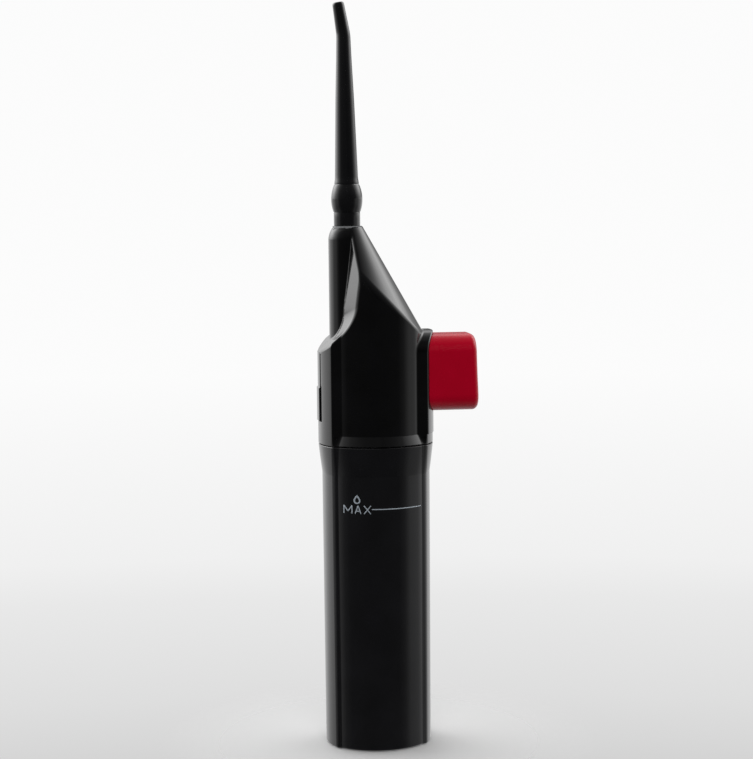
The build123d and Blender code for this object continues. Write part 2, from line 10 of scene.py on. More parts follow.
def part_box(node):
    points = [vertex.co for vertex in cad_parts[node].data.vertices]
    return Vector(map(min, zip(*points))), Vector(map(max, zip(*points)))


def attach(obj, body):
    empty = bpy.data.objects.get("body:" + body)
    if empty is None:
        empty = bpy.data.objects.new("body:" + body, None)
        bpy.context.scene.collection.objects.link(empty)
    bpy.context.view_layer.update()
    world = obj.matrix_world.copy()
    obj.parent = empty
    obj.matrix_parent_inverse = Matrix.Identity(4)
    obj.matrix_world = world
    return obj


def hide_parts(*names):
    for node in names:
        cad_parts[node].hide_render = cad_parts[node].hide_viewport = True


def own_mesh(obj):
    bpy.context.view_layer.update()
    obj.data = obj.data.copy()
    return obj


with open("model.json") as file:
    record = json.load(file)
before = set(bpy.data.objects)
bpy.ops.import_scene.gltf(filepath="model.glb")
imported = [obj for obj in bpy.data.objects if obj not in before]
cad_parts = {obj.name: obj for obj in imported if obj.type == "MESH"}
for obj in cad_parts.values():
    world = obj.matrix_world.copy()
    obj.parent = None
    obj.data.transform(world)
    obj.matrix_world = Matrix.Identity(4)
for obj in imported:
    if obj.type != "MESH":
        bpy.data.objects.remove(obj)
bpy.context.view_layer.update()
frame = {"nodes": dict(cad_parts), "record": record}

# Looks of a hand-pumped water flosser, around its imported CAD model. Sizes are in millimetres until
# a mesh is made, and pairs are a start and an end unless a comment says otherwise. The origin and axes
# are the CAD model's.
MM = 0.001

# Body outlines: the side strips lie on a circle, and the front and back are bulging panels set back
# behind a narrow shoulder.
Outline = namedtuple("Outline", "radius corner_y edge_x edge_y apex")
TANK_OUTLINE = Outline(20.15, 10.5, 15.75, 11.15, 17.35)
LIP_OUTLINE = Outline(21.7, 12.4, 16.0, 13.15, 18.9)
HEAD_OUTLINE = Outline(21.7, 12.3, 14.5, 12.0, 17.0)
EDGE_ROUND = 0.45
CREASE_ROUND = 0.3
LIP_ROUND = 0.3

# Tank
TANK_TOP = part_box("reservoir")[1].z / MM
TANK_FLARE = 104.7
FLARE_START = 1.2
TANK_DRAFT = 0.0023
TANK_WALL = 1.8
TANK_FLOOR = 2.0
FOOT_ROUND = 0.9
CATCH_Z = (108.6, 111.6)
CATCH_DEPTH = 1.05
CATCH_WIDTH = 7.2

# Head. The roof's rounding is given at its left and its right end. The scoop beside the neck has a
# steep wall and a sloping shelf that starts from SHELF_EDGE (x, z). A screw post is (x, y, radius, hole).
HEAD_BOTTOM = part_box("head_front_shell")[0].z / MM
NECK_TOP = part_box("head_front_shell")[1].z / MM
HEAD_WAIST = 119.5
HEAD_WALL = 1.6
RIGHT_END = 18.9
SHELL_GAP = 0.1
ROOF_X = -9.8
ROOF_HEAD_RADIUS = 5.45
ROOF_SLOPE = 0.564
ROOF_COS = 1 / math.hypot(1, ROOF_SLOPE)
ROOF_ROUND_X = (-6, 12)
ROOF_ROUND = (1.6, 0.6)
ARCH_TOP = 158.0
ARCH_HALF_WIDTH = 12.2
ARCH_CORNER = 8.2
ARCH_RISE = 0.3
ARCH_FILLET = 0.7
ARCH_FILLET_Z = (148, 156)
SCOOP_WALL = -8.6
SCOOP_DRAFT = 0.42
SCOOP_LEAN = 0.116
SCOOP_LEAN_START = 163.3
SCOOP_LEAN_EASE = 5
SCOOP_DEPTH = 10
SCOOP_CURVE = 4.2
SCOOP_OPENING = (146, 158)
SHELF_EDGE = (-21.6, 150.9)
SHELF_SLOPE = 0.87
SCOOP_ROUND = 0.9
NECK_X = -10.0
NECK_RADIUS = 7.1
NECK_FILLET = 0.4
NECK_FOOT = 148.8
CAP_RADIUS = 6.1
CAP_SLOPE = 0.6875
SCREW_POST = (8.8, 11.2, 2.6, 1.0)
SCREW_POST_Z = (119.0, 126.0)

# Button
BUTTON_Z = 142.0
BUTTON_WIDTH = 21.0
BUTTON_HEIGHT = 28.9
BUTTON_CORNER = 6.5
BUTTON_INNER_CORNER = 5
BUTTON_GAP = 0.3
BUTTON_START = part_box("button_cap")[0].x / MM
BUTTON_END = 37.9
BUTTON_LEAN = 1.0
BUTTON_ROUND = 2.2
BUTTON_MOUTH_ROUND = 0.2
BUTTON_DISH = 0.45
BUTTON_WALL = 1.5
BUTTON_BACK = 36.0

# Latch: the slot in the head that its strip and the wider pad lie in
LATCH_WIDTH = 7.4
SLOT_Z = (124.3, 149.8)
PAD_SLOT_TOP = 137.7
SLOT_DEPTH = 2
LATCH_GAP = 0.9
PAD_GAP = 1.6
SLOT_ROUND = 0.15

# Collar and jet tip. The socket, bulge, top and plug are (radius, z), and the cone lists (z, radius).
COLLAR_BORE = 1.2
COLLAR_SOCKET = (2.9, 200)
COLLAR_FOOT = 3.7
COLLAR_JOURNAL = 3.8
COLLAR_STEM = 4.95
COLLAR_SHOULDER = 202.5
COLLAR_BULGE = (5.85, 208.0)
COLLAR_TOP = (4.7, 212.8)
TIP_CONE = ((213.0, 4.65), (215.0, 4.35), (244.0, 3.5), (259.0, 2.9), (268.0, 2.62), (280.1, 2.15))
TIP_BORE = 1.1
TIP_BORE_END = 265
TIP_PLUG = (2.85, 200.4)
TIP_SEAT = 212.86
TIP_CONE_RUN = (213.3, 278.9)
TIP_BEND = (266.6, 269.6)
TIP_LEAN = math.radians(8.3)
TIP_DRIFT = 0.0115
JET_RADIUS = 0.4

# Springs: (start, direction, coil radius, wire, length, turns), the joint that squashes it, the share
# of its length that is left, and whether it is held at its far end
VALVE_SEAT = 2 * math.sqrt(1.75**2 - 1.2**2) + 0.17
INLET_TOP = 121.5
INLET_X = -6.5
OUTLET_TOP = 154.0
SPRINGS = {
    "return_spring": (((1.55, 0, 142.2), (1, 0, 0), 7.6, 1.1, 32.4, 9), "button_press", (0.599, False)),
    "latch_spring": (((-19.75, 0, 137.0), (1, 0, 0), 1.5, 0.4, 4.45, 6), "latch_press", (0.89, True)),
    "inlet_spring": (((INLET_X, 0, INLET_TOP + VALVE_SEAT), (0, 0, 1), 1.2, 0.3, 6.45 - VALVE_SEAT, 5),
                     "inlet_ball_lift", (0.784, True)),
    "outlet_spring": (((NECK_X, 0, OUTLET_TOP + VALVE_SEAT), (0, 0, 1), 1.2, 0.3, 6.45 - VALVE_SEAT, 5),
                      "outlet_ball_lift", (0.784, True)),
}
CLOSED_TURNS = 0.9

# Fill mark printed on the tank's front panel. The droplet's middle and half size are (x, z).
MARK_STROKE = 0.38
MARK_RISE = 0.04
MARK_SUNK = 0.06
MARK_LEVEL = 92.5
LETTER_Z = (90.8, 93.9)
M_X = (-13.9, -11.1)
A_X = (-10.0, -7.9)
X_X = (-6.8, -4.3)
LINE_X = (-4.0, 15.3)
DROPLET = (-9.3, 96.15)
DROPLET_HALF = (1.265, 1.4)

# Camera, in metres and radians
CAMERA_AZIMUTH = math.radians(-7.5)
CAMERA_PITCH = math.radians(5.9)
CAMERA_ROLL = math.radians(0.56)
CAMERA_PAN = math.radians(0.0446)
CAMERA_DISTANCE = 0.6967
CAMERA_HEIGHT = 0.2113
CAMERA_LENS = 87.75
SENSOR = 36.0

# Studio. The floor is a disc that fades out between two distances from the object, in metres. The ramps
# are lists of (place, grey). BACKDROP and SOFTBOXES run from straight behind the object, 0, to the
# camera's side, 1. SOFTBOX_HEIGHTS runs from level, 0, to straight up, 1. GAP and SWEEP each run between
# two heights of a direction, and the gap is only on the right, from GAP_SIDE on.
FLOOR_RADIUS = 1.2
FLOOR_GREY = 0.48
FLOOR_FADE = (0.026, 0.085)
BACKDROP = ((0, 0.45), (0.04, 0.8), (0.1, 1), (0.36, 0.92), (0.5, 0.42), (0.66, 0.34), (0.75, 0.1),
            (0.83, 0.03), (1, 0.02))
GAP_HEIGHTS = (-0.5, 0.5)
GAP = ((0, 1), (0.5, 1), (0.56, 0.1), (0.8, 0.1), (1, 0.3))
GAP_SIDE = (0.02, 0.14)
SOFTBOXES = ((0, 0.05), (0.1, 0.25), (0.22, 1), (0.34, 1), (0.44, 0.65), (0.56, 0.3), (0.68, 0.04), (1, 0))
SOFTBOX_HEIGHTS = ((0, 0), (0.02, 0.3), (0.1, 0.5), (0.3, 1), (0.6, 1), (0.85, 0.15), (1, 0.08))
SOFTBOX_LEVEL = 2.5
STUDIO_STRENGTH = 1.5
SWEEP_HEIGHTS = (-0.31, -0.1)
SWEEP = ((0, 0.62), (0.1, 0.68), (0.2, 0.73), (0.32, 0.77), (0.44, 0.81), (0.54, 0.87), (0.73, 0.91),
         (1, 0.97))
FRONT_LIGHT = (-0.15, -1.3, 0.8)
FRONT_LIGHT_SIZE = 0.9
FRONT_LIGHT_WATTS = 14
LIGHT_TARGET = (0, 0, 0.12)


# ------------------------------------------------------------------ distance functions


def round_max(a, b, r):
    """Where two solids overlap, with their common edge rounded."""
    return np.minimum(-r, np.maximum(a, b)) + np.hypot(np.maximum(r + a, 0), np.maximum(r + b, 0))


def round_min(a, b, r):
    """Two solids together, with a fillet where they meet."""
    return np.maximum(r, np.minimum(a, b)) - np.hypot(np.maximum(r - a, 0), np.maximum(r - b, 0))


def smooth_step(t):
    """Rise from 0 to 1 that starts and ends level."""
    t = np.clip(t, 0, 1)
    return t * t * (3 - 2 * t)


def rounded_rectangle(u, v, half_u, half_v, corner):
    """Distance to a rectangle with round corners, about the origin."""
    qu = np.abs(u) - half_u + corner
    qv = np.abs(v) - half_v + corner
    return np.hypot(np.maximum(qu, 0), np.maximum(qv, 0)) + np.minimum(np.maximum(qu, qv), 0) - corner


def slab(v, low, high):
    """Distance to the space between two levels."""
    return np.maximum(low - v, v - high)


def blend_outlines(a, b, share):
    """Outline that lies a share of the way from one outline to another."""
    return Outline(*[p + (q - p) * share for p, q in zip(a, b)])


def panels(x, y, shape):
    """Distance to the lens between the bulging front and back panels."""
    rise = shape.apex - shape.edge_y
    arc = (shape.edge_x**2 + rise**2) / (2 * rise)
    return np.hypot(x, np.abs(y) + arc - shape.apex) - arc


def strips(x, y, shape):
    """Distance to the slab whose faces are the shoulders beside the panels."""
    corner_x = np.sqrt(shape.radius**2 - shape.corner_y**2)
    slope = (shape.corner_y - shape.edge_y) / (corner_x - shape.edge_x)
    shoulder = shape.edge_y + slope * np.maximum(np.abs(x) - shape.edge_x, 0)
    return (np.abs(y) - shoulder) / np.sqrt(1 + slope**2)


def section(x, y, shape):
    """Distance to the body's whole outline."""
    inner = round_min(strips(x, y, shape), panels(x, y, shape), CREASE_ROUND)
    return round_max(inner, np.hypot(x, y) - shape.radius, EDGE_ROUND)


def tank(x, y, z):
    """The tank: a straight body, a flared lip and a cavity with the latch's catch."""
    height = np.clip((z - TANK_FLARE) / (TANK_TOP - TANK_FLARE), 0, 1)
    share = height * (FLARE_START + (1 - FLARE_START) * height)
    draft = TANK_DRAFT * np.clip(z, 0, TANK_FLARE) * (1 - share)
    outside = section(x, y, blend_outlines(TANK_OUTLINE, LIP_OUTLINE, share)) - draft
    outside = round_max(outside, -z, FOOT_ROUND)
    outside = round_max(outside, z - TANK_TOP, LIP_ROUND)
    cavity = np.maximum(section(x, y, TANK_OUTLINE) + TANK_WALL, TANK_FLOOR - z)
    catch_x = TANK_OUTLINE.radius - TANK_WALL
    catch = np.maximum(np.abs(x + catch_x) - CATCH_DEPTH, slab(z, *CATCH_Z))
    catch = np.maximum(catch, np.abs(y) - CATCH_WIDTH / 2)
    return round_max(outside, -np.minimum(cavity, catch), LIP_ROUND)


def right_end(x, y):
    """Distance to the curve that closes the recessed panels at the right."""
    half = HEAD_OUTLINE.edge_y
    rise = RIGHT_END - HEAD_OUTLINE.edge_x
    arc = (half**2 + rise**2) / (2 * rise)
    return np.where(x > 0, np.hypot(x - RIGHT_END + arc, y) - arc, -arc / 2)


def roof(x, y, z):
    """Distance to the slanting roof, a cone about the neck."""
    return (np.hypot(x - ROOF_X, y) - ROOF_HEAD_RADIUS - ROOF_SLOPE * (NECK_TOP - z)) * ROOF_COS


def circle_through(a, b, c):
    """Centre and radius of the circle through three points."""
    a, b, c = (np.array(p, float) for p in (a, b, c))
    centre = np.linalg.solve(2 * np.array([b - a, c - a]), [b @ b - a @ a, c @ c - a @ a])
    return centre, np.linalg.norm(a - centre)


def scoop(x, y, z):
    """Distance to the space cut out beside the neck, between a steep wall and a sloping shelf.

    The wall is drawn in with depth, so that its face turns to the front and the back. Its upper part
    leans away from the neck.
    """
    opened = smooth_step((z - SCOOP_OPENING[0]) / (SCOOP_OPENING[1] - SCOOP_OPENING[0]))
    drawn = SCOOP_DRAFT * np.clip(HEAD_OUTLINE.apex - np.abs(y), 0, SCOOP_DEPTH) * opened
    rise = z - SCOOP_LEAN_START
    leaning = SCOOP_LEAN * (rise + np.hypot(rise, SCOOP_LEAN_EASE)) / 2
    wall = x + drawn - leaning - SCOOP_WALL
    shelf = (SHELF_EDGE[1] + SHELF_SLOPE * (x - SHELF_EDGE[0]) - z) / math.hypot(1, SHELF_SLOPE)
    return round_max(wall, shelf, SCOOP_CURVE)


def arch(x, y, z):
    """Distance to the raised plate round the button."""
    front = rounded_rectangle(y, z - ARCH_TOP + 40, ARCH_HALF_WIDTH, 40, ARCH_CORNER)
    front = np.where(z < ARCH_TOP - 2 * ARCH_CORNER, np.abs(y) - ARCH_HALF_WIDTH, front)
    plate = round_max(front, np.hypot(x, y) - HEAD_OUTLINE.radius - ARCH_RISE, EDGE_ROUND)
    return np.where(x > 0, plate, ARCH_HALF_WIDTH)


def head_outside(x, y, z):
    """The head's outer form."""
    left = np.where(x < 0, strips(x, y, HEAD_OUTLINE), ARCH_HALF_WIDTH)
    body = round_min(left, panels(x, y, HEAD_OUTLINE), CREASE_ROUND)
    body = round_max(body, np.hypot(x, y) - HEAD_OUTLINE.radius, EDGE_ROUND)
    body = round_max(body, right_end(x, y), EDGE_ROUND)
    crease = np.interp(x, ROOF_ROUND_X, ROOF_ROUND)
    body = round_max(body, roof(x, y, z), crease)
    fillet = np.interp(z, ARCH_FILLET_Z, (CREASE_ROUND, ARCH_FILLET))
    body = round_min(body, arch(x, y, z), fillet)
    flare = np.clip((HEAD_WAIST - z) / (HEAD_WAIST - HEAD_BOTTOM), 0, 1)
    base = section(x, y, blend_outlines(HEAD_OUTLINE, LIP_OUTLINE, flare))
    body = np.where(z < HEAD_WAIST, base, body)
    neck = np.maximum(np.hypot(x - NECK_X, y) - NECK_RADIUS, NECK_FOOT - z)
    kept = round_min(neck, -scoop(x, y, z), NECK_FILLET)
    body = round_max(body, kept, SCOOP_ROUND)
    cap = np.hypot(x - NECK_X, y) - CAP_RADIUS - CAP_SLOPE * (NECK_TOP - z)
    body = round_max(body, cap / math.hypot(1, CAP_SLOPE), LIP_ROUND)
    body = round_max(body, z - NECK_TOP, LIP_ROUND)
    return round_max(body, HEAD_BOTTOM - z, LIP_ROUND)


def head_cavity(x, y, z):
    """The hollow inside the head, and the bore up its neck."""
    left = np.where(x < 0, strips(x, y, HEAD_OUTLINE), ARCH_HALF_WIDTH)
    space = np.minimum(left, panels(x, y, HEAD_OUTLINE))
    space = np.maximum(space, np.hypot(x, y) - HEAD_OUTLINE.radius)
    space = np.maximum(np.maximum(space, right_end(x, y)), roof(x, y, z))
    space = np.maximum(space, -scoop(x, y, z)) + HEAD_WALL
    bore = np.maximum(np.hypot(x - NECK_X, y) - NECK_RADIUS + HEAD_WALL, NECK_FOOT - 3 - z)
    return np.minimum(space, bore)


def head(x, y, z):
    """The head's shell, with its screw posts and the openings for the button and the latch."""
    post_x, post_y, post_radius, hole_radius = SCREW_POST
    post = np.hypot(np.abs(x) - post_x, np.abs(y) - post_y)
    posts = np.maximum(np.maximum(post - post_radius, hole_radius - post), slab(z, *SCREW_POST_Z))
    shell = round_max(head_outside(x, y, z), -head_cavity(x, y, z), LIP_ROUND)
    shell = np.minimum(shell, posts)
    opening = rounded_rectangle(y, z - BUTTON_Z, BUTTON_WIDTH / 2 + BUTTON_GAP,
                                BUTTON_HEIGHT / 2 + BUTTON_GAP, BUTTON_CORNER)
    shell = round_max(shell, -np.maximum(opening, -4 - x), LIP_ROUND)
    slot = np.maximum(np.abs(y) - LATCH_WIDTH / 2 - LATCH_GAP, slab(z, *SLOT_Z))
    wide = np.maximum(np.abs(y) - LATCH_WIDTH / 2 - PAD_GAP, slab(z, SLOT_Z[0], PAD_SLOT_TOP))
    slot = np.maximum(np.minimum(slot, wide), x + HEAD_OUTLINE.radius - SLOT_DEPTH)
    return round_max(shell, -slot, SLOT_ROUND)


def head_front(x, y, z):
    """The front half of the head's shell."""
    return round_max(head(x, y, z), y + SHELL_GAP / 2, SHELL_GAP)


def button(x, y, z):
    """The push button: a hollow block with round corners and a slightly dished end."""
    v = z - BUTTON_Z
    outline = rounded_rectangle(y, v, BUTTON_WIDTH / 2, BUTTON_HEIGHT / 2, BUTTON_CORNER)
    spread = np.clip((y / BUTTON_WIDTH * 2) ** 2 + (v / BUTTON_HEIGHT * 2) ** 2, 0, 1)
    end = x - BUTTON_END + v * BUTTON_LEAN / BUTTON_HEIGHT + BUTTON_DISH * (1 - spread) ** 2
    block = round_max(outline, end, BUTTON_ROUND)
    block = round_max(block, BUTTON_START - x, LIP_ROUND)
    inner = rounded_rectangle(y, v, BUTTON_WIDTH / 2 - BUTTON_WALL, BUTTON_HEIGHT / 2 - BUTTON_WALL,
                              BUTTON_INNER_CORNER)
    return round_max(block, -np.maximum(inner, x - BUTTON_BACK), BUTTON_MOUTH_ROUND)


# ------------------------------------------------------------------ meshes from distance functions


def gradient(f, p, h=0.02):
    """Direction and steepness of a distance function at each point."""
    parts = []
    for axis in range(3):
        step = np.zeros(3)
        step[axis] = h
        parts.append((f(*(p + step).T) - f(*(p - step).T)) / (2 * h))
    return np.stack(parts, axis=1)


SETTLE_REACH = 0.3


def settle(f, p, rounds, reach):
    """Move points onto the surface along its gradient, no further than reach each time."""
    for _ in range(rounds):
        g = gradient(f, p)
        move = f(*p.T) / np.maximum((g**2).sum(axis=1), 0.05)
        p = p - g * np.clip(move, -reach, reach)[:, None]
    return p


def spaced(*runs):
    """Grid lines from runs of (start, end, step), in order."""
    lines = [np.linspace(a, b, max(2, round((b - a) / step) + 1)) for a, b, step in runs]
    return np.unique(np.round(np.concatenate(lines), 4))


def surface_net(f, xs, ys, zs):
    """Quads round the zero surface of f: one point in each grid cell that the surface crosses."""
    value = f(*np.meshgrid(xs, ys, zs, indexing="ij"))
    cells = tuple(n - 1 for n in value.shape)
    total = np.zeros(cells + (3,))
    count = np.zeros(cells)
    faces = []
    crossings = []
    for axis in range(3):
        low = np.take(value, range(value.shape[axis] - 1), axis)
        high = np.take(value, range(1, value.shape[axis]), axis)
        crossed = (low < 0) != (high < 0)
        share = np.where(crossed, low / np.where(crossed, low - high, 1), 0)
        lines = [xs, ys, zs]
        places = [c.reshape([-1 if i == k else 1 for i in range(3)]) for k, c in enumerate(lines)]
        start = np.take(places[axis], range(len(lines[axis]) - 1), axis)
        places[axis] = start + share * np.diff(places[axis], axis=axis)
        place = np.stack([np.broadcast_to(c, crossed.shape) for c in np.broadcast_arrays(
            *[np.take(c, range(crossed.shape[k]), k) if c.shape[k] > 1 else c
              for k, c in enumerate(places)])], axis=-1)
        others = [k for k in range(3) if k != axis]
        for a in (0, 1):
            for b in (0, 1):
                part = [slice(None)] * 3
                part[others[0]] = slice(a, a + cells[others[0]])
                part[others[1]] = slice(b, b + cells[others[1]])
                hit = crossed[tuple(part)]
                total += place[tuple(part)] * hit[..., None]
                count += hit
        crossings.append((axis, others, crossed, low < 0))
    number = np.full(cells, -1)
    used = count > 0
    number[used] = np.arange(used.sum())
    points = total[used] / count[used][:, None]
    for axis, others, crossed, inside in crossings:
        at = np.argwhere(crossed)
        fits = np.all([(at[:, k] > 0) & (at[:, k] < cells[k]) for k in others], axis=0)
        at = at[fits]
        ring = []
        for a, b in ((1, 1), (0, 1), (0, 0), (1, 0)):
            cell = at.copy()
            cell[:, others[0]] -= a
            cell[:, others[1]] -= b
            ring.append(number[tuple(cell.T)])
        quads = np.stack(ring, axis=1)
        forward = inside[tuple(at.T)] != (axis == 1)
        quads[~forward] = quads[~forward][:, ::-1]
        faces.append(quads)
    return points, np.concatenate(faces)


def evened(f, points, quads, rounds, reach):
    """Even out the points along the surface, by moving each towards its neighbours' middle."""
    ends = np.concatenate([quads[:, [a, (a + 1) % 4]] for a in range(4)])
    size = len(points)
    near = np.bincount(ends[:, 0], minlength=size) + np.bincount(ends[:, 1], minlength=size)
    for _ in range(rounds):
        middle = np.stack([
            np.bincount(ends[:, 0], points[ends[:, 1], k], size)
            + np.bincount(ends[:, 1], points[ends[:, 0], k], size) for k in range(3)], axis=1)
        points = settle(f, 0.5 * points + 0.5 * middle / np.maximum(near, 1)[:, None], 2, reach)
    return points


def new_piece(name, points, faces, material, body, stands_for=(), normals=None):
    """Piece from points in millimetres, riding on a body in place of its CAD nodes."""
    mesh = bpy.data.meshes.new(name)
    mesh.from_pydata((np.asarray(points) * MM).tolist(), [], [tuple(f) for f in np.asarray(faces).tolist()]
                     if isinstance(faces, np.ndarray) else faces)
    mesh.validate()
    mesh.materials.append(material)
    mesh.shade_smooth()
    if normals is not None:
        mesh.normals_split_custom_set_from_vertices(normals.tolist())
    piece = bpy.data.objects.new(name, mesh)
    bpy.context.scene.collection.objects.link(piece)
    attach(piece, body)
    if stands_for:
        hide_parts(*stands_for)
    return piece


def solid(name, f, grid, material, body, stands_for, mirrored=False):
    """Piece whose surface is where a distance function is zero, shaded by its gradient.

    A mirrored one is made twice, the second time as the back half.
    """
    points, quads = surface_net(f, *grid)
    points = settle(f, points, 4, SETTLE_REACH)
    points = evened(f, points, quads, 3, SETTLE_REACH)
    slope = gradient(f, points)
    normals = slope / np.maximum(np.linalg.norm(slope, axis=1), 1e-6)[:, None]
    made = [new_piece(name, points, quads, material, body, stands_for[:1], normals)]
    if mirrored:
        flip = np.array([1, -1, 1])
        made.append(new_piece(stands_for[1].replace("_shell", ""), points * flip, quads[:, ::-1],
                              material, body, stands_for[1:], normals * flip))
    return made


# ------------------------------------------------------------------ turned, coiled and drawn meshes


def rings_to_mesh(rings, closed_ends):
    """Points and quads of a tube of rings, each an (n, 3) array; closed_ends adds end caps."""
    size = len(rings[0])
    points = np.concatenate(rings)
    faces = []
    for row in range(len(rings) - 1):
        for i in range(size):
            j = (i + 1) % size
            a = row * size
            faces.append((a + i, a + j, a + size + j, a + size + i))
    if closed_ends:
        faces.append(tuple(range(size - 1, -1, -1)))
        faces.append(tuple(range((len(rings) - 1) * size, len(rings) * size)))
    return points, faces


def rounded_line(corners, steps=6):
    """Line through corners of (u, v, radius), each turned by an arc of that radius."""
    out = []
    for i, (u, v, r) in enumerate(corners):
        here = np.array([u, v])
        if i in (0, len(corners) - 1) or r == 0:
            out.append(here)
            continue
        back = np.array(corners[i - 1][:2]) - here
        on = np.array(corners[i + 1][:2]) - here
        start = here + back / np.linalg.norm(back) * r
        end = here + on / np.linalg.norm(on) * r
        for t in np.linspace(0, 1, steps):
            out.append((1 - t) ** 2 * start + 2 * t * (1 - t) * here + t**2 * end)
    return np.array(out)


def turned(name, line, material, body, stands_for, sides=96, centre=None):
    """Piece from a closed line of (radius, level) turned about the neck's axis.

    For a bent one, centre gives each level's place and lean.
    """
    angle = np.linspace(0, 2 * math.pi, sides, endpoint=False)
    rings = []
    for radius, level in line:
        middle, lean = centre(level) if centre else ((NECK_X, 0, level), 0)
        across = radius * np.cos(angle)
        rings.append(np.stack([
            middle[0] + across * math.cos(lean),
            middle[1] + radius * np.sin(angle),
            middle[2] + across * math.sin(lean)], axis=1))
    points, faces = rings_to_mesh(rings, False)
    first = len(rings) - 1
    for i in range(sides):
        j = (i + 1) % sides
        faces.append((first * sides + i, first * sides + j, j, i))
    piece = new_piece(name, points, faces, material, body, stands_for)
    mark_sharp(piece, 35)
    return piece


def mark_sharp(piece, degrees):
    """Keep the edges between faces that meet at a sharp angle crisp."""
    piece.data.set_sharp_from_angle(angle=math.radians(degrees))


def coil(name, shape, material):
    """Round-wire spring in the head, with closed end turns."""
    start, direction, radius, wire, length, turns = shape
    along = Vector(direction)
    side = along.orthogonal().normalized()
    other = along.cross(side)
    run = length - wire
    rows = []
    for turn in np.linspace(0, turns, turns * 40 + 1):
        level = np.interp(turn, (0, CLOSED_TURNS, turns - CLOSED_TURNS, turns),
                          (0, wire * CLOSED_TURNS, run - wire * CLOSED_TURNS, run))
        angle = 2 * math.pi * turn
        out = side * math.cos(angle) + other * math.sin(angle)
        rows.append((Vector(start) + along * (wire / 2 + level) + out * radius, out))
    rings = []
    for centre, out in rows:
        rings.append(np.array([
            centre + (out * math.cos(a) + along * math.sin(a)) * (wire / 2)
            for a in np.linspace(2 * math.pi, 0, 12, endpoint=False)]))
    points, faces = rings_to_mesh(rings, True)
    piece = new_piece(name + "_coil", points, faces, material, "head", (name,))
    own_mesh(piece)


def panel_y(x, z):
    """Y of the tank's front panel."""
    rise = TANK_OUTLINE.apex - TANK_OUTLINE.edge_y
    arc = (TANK_OUTLINE.edge_x**2 + rise**2) / (2 * rise)
    return arc - TANK_OUTLINE.apex - np.sqrt((arc + TANK_DRAFT * z) ** 2 - x**2)


def stroke(path, width, points, faces, closed=False):
    """Add a raised ribbon, closed all round, along a path of (x, z) on the tank's front panel."""
    path = np.asarray(path, float)
    if closed:
        ahead = np.roll(path, -1, axis=0) - np.roll(path, 1, axis=0)
    else:
        ahead = np.gradient(path, axis=0)
    ahead /= np.linalg.norm(ahead, axis=1)[:, None]
    side = np.stack([-ahead[:, 1], ahead[:, 0]], axis=1) * width / 2
    first = len(points)
    size = len(path)
    for rise, share in ((-MARK_SUNK, 1), (MARK_RISE, 0.9), (MARK_RISE, -0.9), (-MARK_SUNK, -1)):
        edge = path + side * share
        points += np.stack([edge[:, 0], panel_y(edge[:, 0], edge[:, 1]) - rise, edge[:, 1]], axis=1).tolist()
    for lane in range(4):
        for i in range(size if closed else size - 1):
            j = (i + 1) % size
            a = first + lane * size
            b = first + (lane + 1) % 4 * size
            faces.append((a + i, b + i, b + j, a + j))
    if not closed:
        faces.append(tuple(first + lane * size for lane in (3, 2, 1, 0)))
        faces.append(tuple(first + lane * size + size - 1 for lane in range(4)))


# ------------------------------------------------------------------ materials


# Sizes of the finishes' noises, in features a metre
MOTTLE_SCALE = 60
GLOSS_SCALE = 45
WAVE_SCALE = 70
GRAIN_SCALE = 2600


def shader(name, **sockets):
    """New material and its shader, with uniform values set on the shader's own sockets."""
    material = bpy.data.materials.new(name)
    material.use_nodes = True
    principled = material.node_tree.nodes["Principled BSDF"]
    for key, value in sockets.items():
        principled.inputs[key.replace("_", " ")].default_value = value
    return material, principled


def noise_at(material, scale, detail=4.0, stretch=(1, 1, 1)):
    """Noise fixed to the object, with scale in features a metre."""
    nodes, links = material.node_tree.nodes, material.node_tree.links
    place = nodes.new("ShaderNodeTexCoord")
    mapping = nodes.new("ShaderNodeMapping")
    mapping.inputs["Scale"].default_value = stretch
    texture = nodes.new("ShaderNodeTexNoise")
    texture.inputs["Scale"].default_value = scale
    texture.inputs["Detail"].default_value = detail
    links.new(place.outputs["Object"], mapping.inputs["Vector"])
    links.new(mapping.outputs["Vector"], texture.inputs["Vector"])
    return texture.outputs["Fac"]


def map_range(tree, source, start, end, low=0.0, high=1.0):
    """A value's range from start to end mapped to low and high."""
    node = tree.nodes.new("ShaderNodeMapRange")
    for socket, value in (("From Min", start), ("From Max", end), ("To Min", low), ("To Max", high)):
        node.inputs[socket].default_value = value
    tree.links.new(source, node.inputs["Value"])
    return node.outputs["Result"]


def tinted(material, principled, source, dark, light):
    """Base colour that varies between two colours."""
    ramp = material.node_tree.nodes.new("ShaderNodeValToRGB")
    ramp.color_ramp.elements[0].position = 0.35
    ramp.color_ramp.elements[1].position = 0.65
    ramp.color_ramp.elements[0].color = (*dark, 1)
    ramp.color_ramp.elements[1].color = (*light, 1)
    material.node_tree.links.new(source, ramp.inputs["Fac"])
    material.node_tree.links.new(ramp.outputs["Color"], principled.inputs["Base Color"])


def bumped(material, principled, *layers):
    """Bump from layers of (noise, distance in metres)."""
    nodes, links = material.node_tree.nodes, material.node_tree.links
    before = None
    for source, distance in layers:
        bump = nodes.new("ShaderNodeBump")
        bump.inputs["Strength"].default_value = 1.0
        bump.inputs["Distance"].default_value = distance
        links.new(source, bump.inputs["Height"])
        if before:
            links.new(before, bump.inputs["Normal"])
        before = bump.outputs["Normal"]
    links.new(before, principled.inputs["Normal"])


